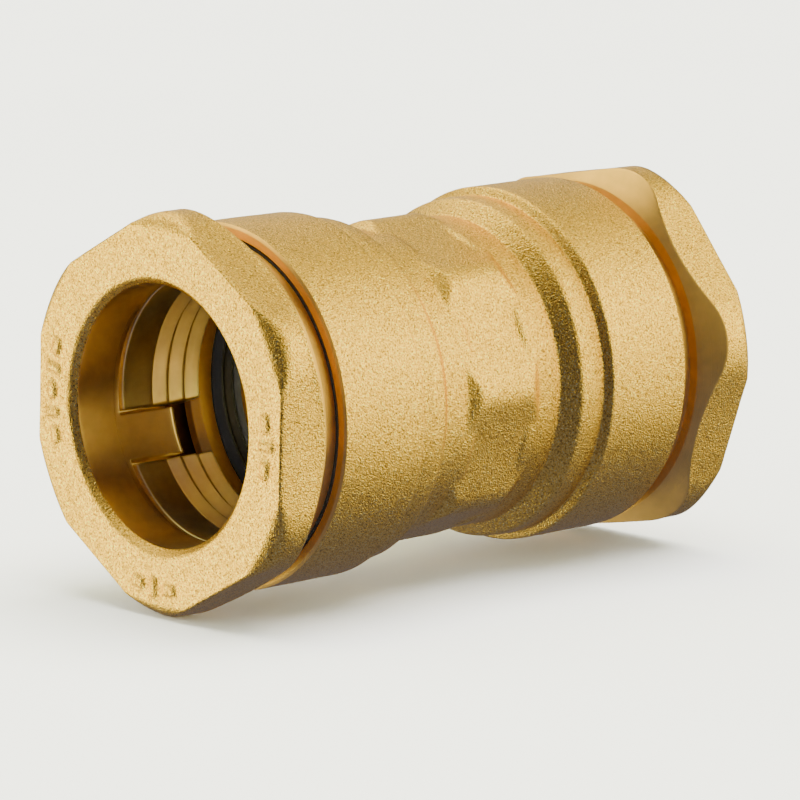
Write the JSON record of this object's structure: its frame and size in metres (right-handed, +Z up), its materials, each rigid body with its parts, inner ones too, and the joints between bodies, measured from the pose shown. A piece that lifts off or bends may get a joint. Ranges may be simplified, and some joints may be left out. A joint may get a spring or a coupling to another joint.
{
  "type": "push fit coupling",
  "caption": "Straight brass push fit coupling for plastic pipe: forged body with spanner waist and two hexagon nuts that hold toothed gripping jaws over rubber seals.",
  "frame": {"origin": "middle of the body, on the pipe axis", "axes": "+X along the pipe axis towards end b, +Z up, +Y away from the side the coupling is seen from"},
  "size_m": [0.0794, 0.0498, 0.0502],
  "materials": {
    "cast_brass": "forged and shot blasted, machined where it seals and screws",
    "turned_brass": "turned",
    "black_rubber": "moulded, smooth",
    "grey_plastic": "moulded, matte"
  },
  "bodies": {
    "root": {"body": "cast_brass", "lip_seal_a": "black_rubber", "backing_ring_a": "grey_plastic", "lip_seal_b": "black_rubber", "backing_ring_b": "grey_plastic"},
    "o_ring_a": {"nut_o_ring_a": "black_rubber"},
    "nut_a": {"nut_a": "cast_brass"},
    "thrust_ring_a": {"thrust_ring_a": "turned_brass"},
    "jaw_a1": {"jaw_a1": "turned_brass"},
    "jaw_a2": {"jaw_a2": "turned_brass"},
    "jaw_a3": {"jaw_a3": "turned_brass"},
    "o_ring_b": {"nut_o_ring_b": "black_rubber"},
    "nut_b": {"nut_b": "cast_brass"},
    "thrust_ring_b": {"thrust_ring_b": "turned_brass"},
    "jaw_b1": {"jaw_b1": "turned_brass"},
    "jaw_b2": {"jaw_b2": "turned_brass"},
    "jaw_b3": {"jaw_b3": "turned_brass"}
  },
  "joints": [
    {"name": "nut_travel_a", "type": "slide", "parent": "root", "child": "o_ring_a", "axis": [-1, 0, 0], "range_m": [0, 0.00525]},
    {"name": "nut_turn_a", "type": "hinge", "parent": "o_ring_a", "child": "nut_a", "pos_m": [-0.0355, 0, 0], "axis": [-1, 0, 0], "range_deg": [0, 1260.01]},
    {"name": "thrust_ring_slide_a", "type": "slide", "parent": "root", "child": "thrust_ring_a", "axis": [-1, 0, 0], "range_m": [-0.0022, 0.0008], "stiffness_N_per_m": 4000, "deforming": ["lip_seal_a"]},
    {"name": "jaw_slide_a1", "type": "slide", "parent": "nut_a", "child": "jaw_a1", "axis": [-0.9816, -0.1451, -0.1239], "range_m": [-0.00224, 0.00082]},
    {"name": "jaw_slide_a2", "type": "slide", "parent": "nut_a", "child": "jaw_a2", "axis": [-0.9816, 0.1799, -0.0637], "range_m": [-0.00224, 0.00082]},
    {"name": "jaw_slide_a3", "type": "slide", "parent": "nut_a", "child": "jaw_a3", "axis": [-0.9816, -0.0348, 0.1876], "range_m": [-0.00224, 0.00082]},
    {"name": "nut_travel_b", "type": "slide", "parent": "root", "child": "o_ring_b", "axis": [1, 0, 0], "range_m": [0, 0.00525]},
    {"name": "nut_turn_b", "type": "hinge", "parent": "o_ring_b", "child": "nut_b", "pos_m": [0.0355, 0, 0], "axis": [1, 0, 0], "range_deg": [0, 1260.01]},
    {"name": "thrust_ring_slide_b", "type": "slide", "parent": "root", "child": "thrust_ring_b", "axis": [1, 0, 0], "range_m": [-0.0022, 0.0008], "stiffness_N_per_m": 4000, "deforming": ["lip_seal_b"]},
    {"name": "jaw_slide_b1", "type": "slide", "parent": "nut_b", "child": "jaw_b1", "axis": [0.9816, 0.0445, -0.1855], "range_m": [-0.00224, 0.00082]},
    {"name": "jaw_slide_b2", "type": "slide", "parent": "nut_b", "child": "jaw_b2", "axis": [0.9816, -0.183, 0.0542], "range_m": [-0.00224, 0.00082]},
    {"name": "jaw_slide_b3", "type": "slide", "parent": "nut_b", "child": "jaw_b3", "axis": [0.9816, 0.1384, 0.1313], "range_m": [-0.00224, 0.00082]}
  ],
  "couplings": [
    {"joint": "nut_turn_a", "follows": "nut_travel_a", "rad_per_m": 4188.8},
    {"joint": "jaw_slide_a1", "follows": "thrust_ring_slide_a", "ratio": 1.0187},
    {"joint": "jaw_slide_a2", "follows": "thrust_ring_slide_a", "ratio": 1.0187},
    {"joint": "jaw_slide_a3", "follows": "thrust_ring_slide_a", "ratio": 1.0187},
    {"joint": "nut_turn_b", "follows": "nut_travel_b", "rad_per_m": 4188.8},
    {"joint": "jaw_slide_b1", "follows": "thrust_ring_slide_b", "ratio": 1.0187},
    {"joint": "jaw_slide_b2", "follows": "thrust_ring_slide_b", "ratio": 1.0187},
    {"joint": "jaw_slide_b3", "follows": "thrust_ring_slide_b", "ratio": 1.0187}
  ]
}
